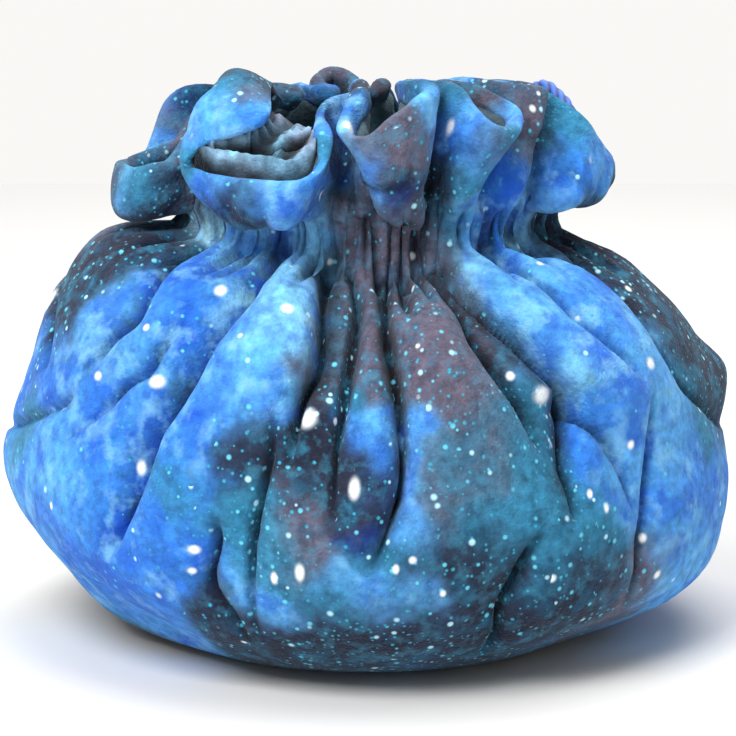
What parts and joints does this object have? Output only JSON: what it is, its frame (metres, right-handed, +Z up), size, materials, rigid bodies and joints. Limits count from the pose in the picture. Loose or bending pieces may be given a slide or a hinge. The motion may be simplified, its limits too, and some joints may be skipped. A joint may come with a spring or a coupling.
{
  "type": "drawstring dice bag",
  "caption": "Soft plush drawstring bag, drawn shut and full, with a gathered neck, a folded ruffle above it and knotted cord tails behind.",
  "frame": {"origin": "middle of the flat base that the bag stands on", "axes": "+Z up through the neck, -Y towards the front with the hooded fold at its left, +X to the right"},
  "size_m": [0.1682, 0.1936, 0.1307],
  "materials": {
    "printed_plush": "short plush pile printed with a night-sky pattern",
    "lining_plush": "short plush pile",
    "drawcord": "twisted satin cord"
  },
  "bodies": {
    "root": {"outer_bag": "printed_plush", "ruffle_lining": "lining_plush", "drawcord_tail_upper": "drawcord", "drawcord_tail_lower": "drawcord"}
  },
  "joints": []
}
